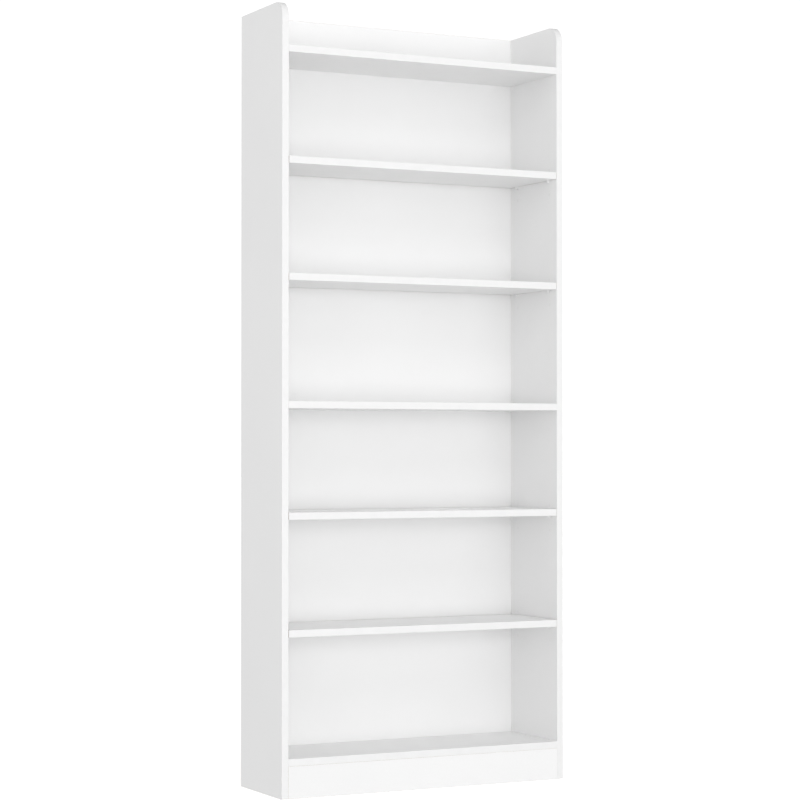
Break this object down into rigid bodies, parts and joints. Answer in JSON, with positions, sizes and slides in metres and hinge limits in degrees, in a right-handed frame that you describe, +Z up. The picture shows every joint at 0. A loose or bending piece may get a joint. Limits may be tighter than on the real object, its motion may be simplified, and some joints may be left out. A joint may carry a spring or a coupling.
{
  "type": "bookcase",
  "caption": "Tall narrow open bookcase in white faced board: fixed shelves on cam fittings, height-adjustable shelves on pins, kick board, full back and rounded front top corners.",
  "frame": {"origin": "on the floor, under the centre of the bookcase's box", "axes": "+Z up, the open front faces -Y, +X to the right of someone facing the front"},
  "size_m": [0.8, 0.255, 1.96],
  "materials": {
    "faced_board": "white melamine-faced chipboard with matching edge band, satin",
    "hardboard_back": "thin fibreboard, white printed face",
    "shelf_pin_steel": "white powder coat on pressed steel",
    "cam_zinc": "bare zinc die casting",
    "bolt_steel": "zinc plated",
    "beech_dowel": "bare beech, fluted",
    "bracket_steel": "zinc plated"
  },
  "bodies": {
    "carcase": {"left_side_panel": "faced_board", "right_side_panel": "faced_board", "top_shelf": "faced_board", "middle_shelf": "faced_board", "bottom_shelf": "faced_board", "kick_board": "faced_board", "back_panel_lower": "hardboard_back", "back_panel_upper": "hardboard_back", "shelf_pin_1_left_front": "shelf_pin_steel", "shelf_pin_1_left_rear": "shelf_pin_steel", "shelf_pin_1_right_front": "shelf_pin_steel", "shelf_pin_1_right_rear": "shelf_pin_steel", "shelf_pin_2_left_front": "shelf_pin_steel", "shelf_pin_2_left_rear": "shelf_pin_steel", "shelf_pin_2_right_front": "shelf_pin_steel", "shelf_pin_2_right_rear": "shelf_pin_steel", "shelf_pin_3_left_front": "shelf_pin_steel", "shelf_pin_3_left_rear": "shelf_pin_steel", "shelf_pin_3_right_front": "shelf_pin_steel", "shelf_pin_3_right_rear": "shelf_pin_steel", "shelf_pin_4_left_front": "shelf_pin_steel", "shelf_pin_4_left_rear": "shelf_pin_steel", "shelf_pin_4_right_front": "shelf_pin_steel", "shelf_pin_4_right_rear": "shelf_pin_steel", "cam_lock_bottom_left_front": "cam_zinc", "cam_lock_bottom_left_rear": "cam_zinc", "cam_lock_bottom_right_front": "cam_zinc", "cam_lock_bottom_right_rear": "cam_zinc", "cam_lock_middle_left_front": "cam_zinc", "cam_lock_middle_left_rear": "cam_zinc", "cam_lock_middle_right_front": "cam_zinc", "cam_lock_middle_right_rear": "cam_zinc", "cam_lock_top_left_front": "cam_zinc", "cam_lock_top_left_rear": "cam_zinc", "cam_lock_top_right_front": "cam_zinc", "cam_lock_top_right_rear": "cam_zinc", "cam_bolt_bottom_left_front": "bolt_steel", "cam_bolt_bottom_left_rear": "bolt_steel", "cam_bolt_bottom_right_front": "bolt_steel", "cam_bolt_bottom_right_rear": "bolt_steel", "cam_bolt_middle_left_front": "bolt_steel", "cam_bolt_middle_left_rear": "bolt_steel", "cam_bolt_middle_right_front": "bolt_steel", "cam_bolt_middle_right_rear": "bolt_steel", "cam_bolt_top_left_front": "bolt_steel", "cam_bolt_top_left_rear": "bolt_steel", "cam_bolt_top_right_front": "bolt_steel", "cam_bolt_top_right_rear": "bolt_steel", "kick_dowel_left_lower": "beech_dowel", "kick_dowel_left_upper": "beech_dowel", "kick_dowel_right_lower": "beech_dowel", "kick_dowel_right_upper": "beech_dowel", "wall_bracket": "bracket_steel", "bracket_screw_left": "bracket_steel", "bracket_screw_right": "bracket_steel"},
    "shelf_1": {"adjustable_shelf_1": "faced_board"},
    "shelf_2": {"adjustable_shelf_2": "faced_board"},
    "shelf_3": {"adjustable_shelf_3": "faced_board"},
    "shelf_4": {"adjustable_shelf_4": "faced_board"}
  },
  "joints": [
    {"name": "shelf_1_take_out", "type": "slide", "parent": "carcase", "child": "shelf_1", "axis": [0, -1, 0], "range_m": [0, 0.27]},
    {"name": "shelf_2_take_out", "type": "slide", "parent": "carcase", "child": "shelf_2", "axis": [0, -1, 0], "range_m": [0, 0.27]},
    {"name": "shelf_3_take_out", "type": "slide", "parent": "carcase", "child": "shelf_3", "axis": [0, -1, 0], "range_m": [0, 0.27]},
    {"name": "shelf_4_take_out", "type": "slide", "parent": "carcase", "child": "shelf_4", "axis": [0, -1, 0], "range_m": [0, 0.27]}
  ]
}
